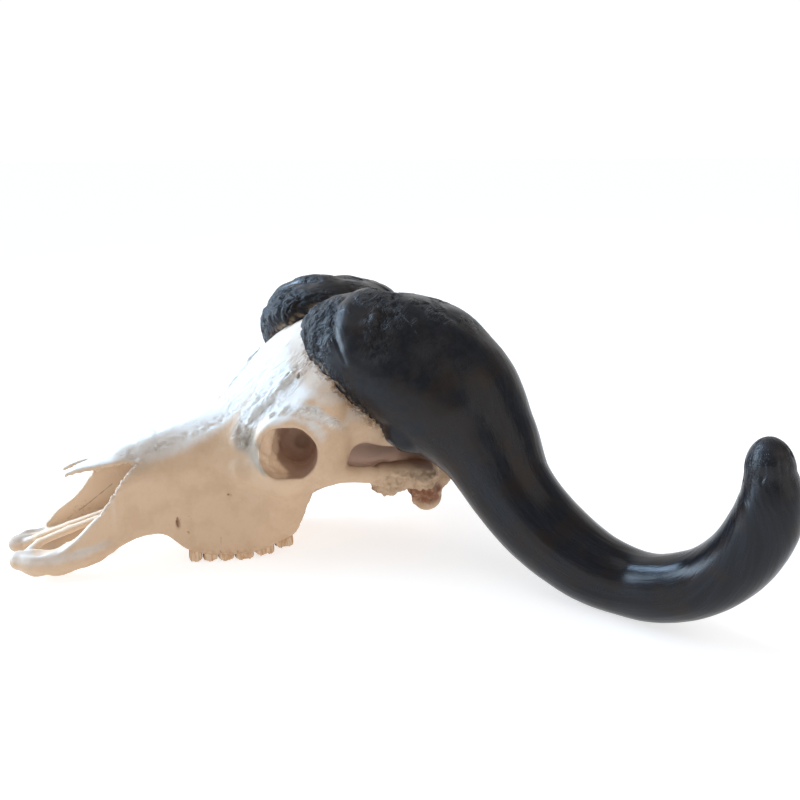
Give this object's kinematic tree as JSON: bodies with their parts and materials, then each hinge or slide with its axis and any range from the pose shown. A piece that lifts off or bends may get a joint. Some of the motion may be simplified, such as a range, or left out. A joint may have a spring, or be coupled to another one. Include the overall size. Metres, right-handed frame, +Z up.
{
  "type": "buffalo skull",
  "caption": "Buffalo skull without its lower jaw, bleached bone with upper cheek teeth and broad dark horns that sweep out, down and hook up at the tips.",
  "frame": {"origin": "centre of the bounding box, at the height of the surface that the skull rests on", "axes": "+Z up; the nose points to -Y and the nape to +Y; the animal's left horn points to +X"},
  "size_m": [0.9644, 0.692, 0.307],
  "materials": {
    "bone": "matt bleached bone",
    "horn": "polished dark horn",
    "tooth": "worn enamel and dentine"
  },
  "bodies": {
    "root": {"skull": "bone", "left_horn": "horn", "right_horn": "horn", "left_premolar_2": "tooth", "left_premolar_3": "tooth", "left_premolar_4": "tooth", "left_molar_1": "tooth", "left_molar_2": "tooth", "left_molar_3": "tooth", "right_premolar_2": "tooth", "right_premolar_3": "tooth", "right_premolar_4": "tooth", "right_molar_1": "tooth", "right_molar_2": "tooth", "right_molar_3": "tooth"}
  },
  "joints": []
}
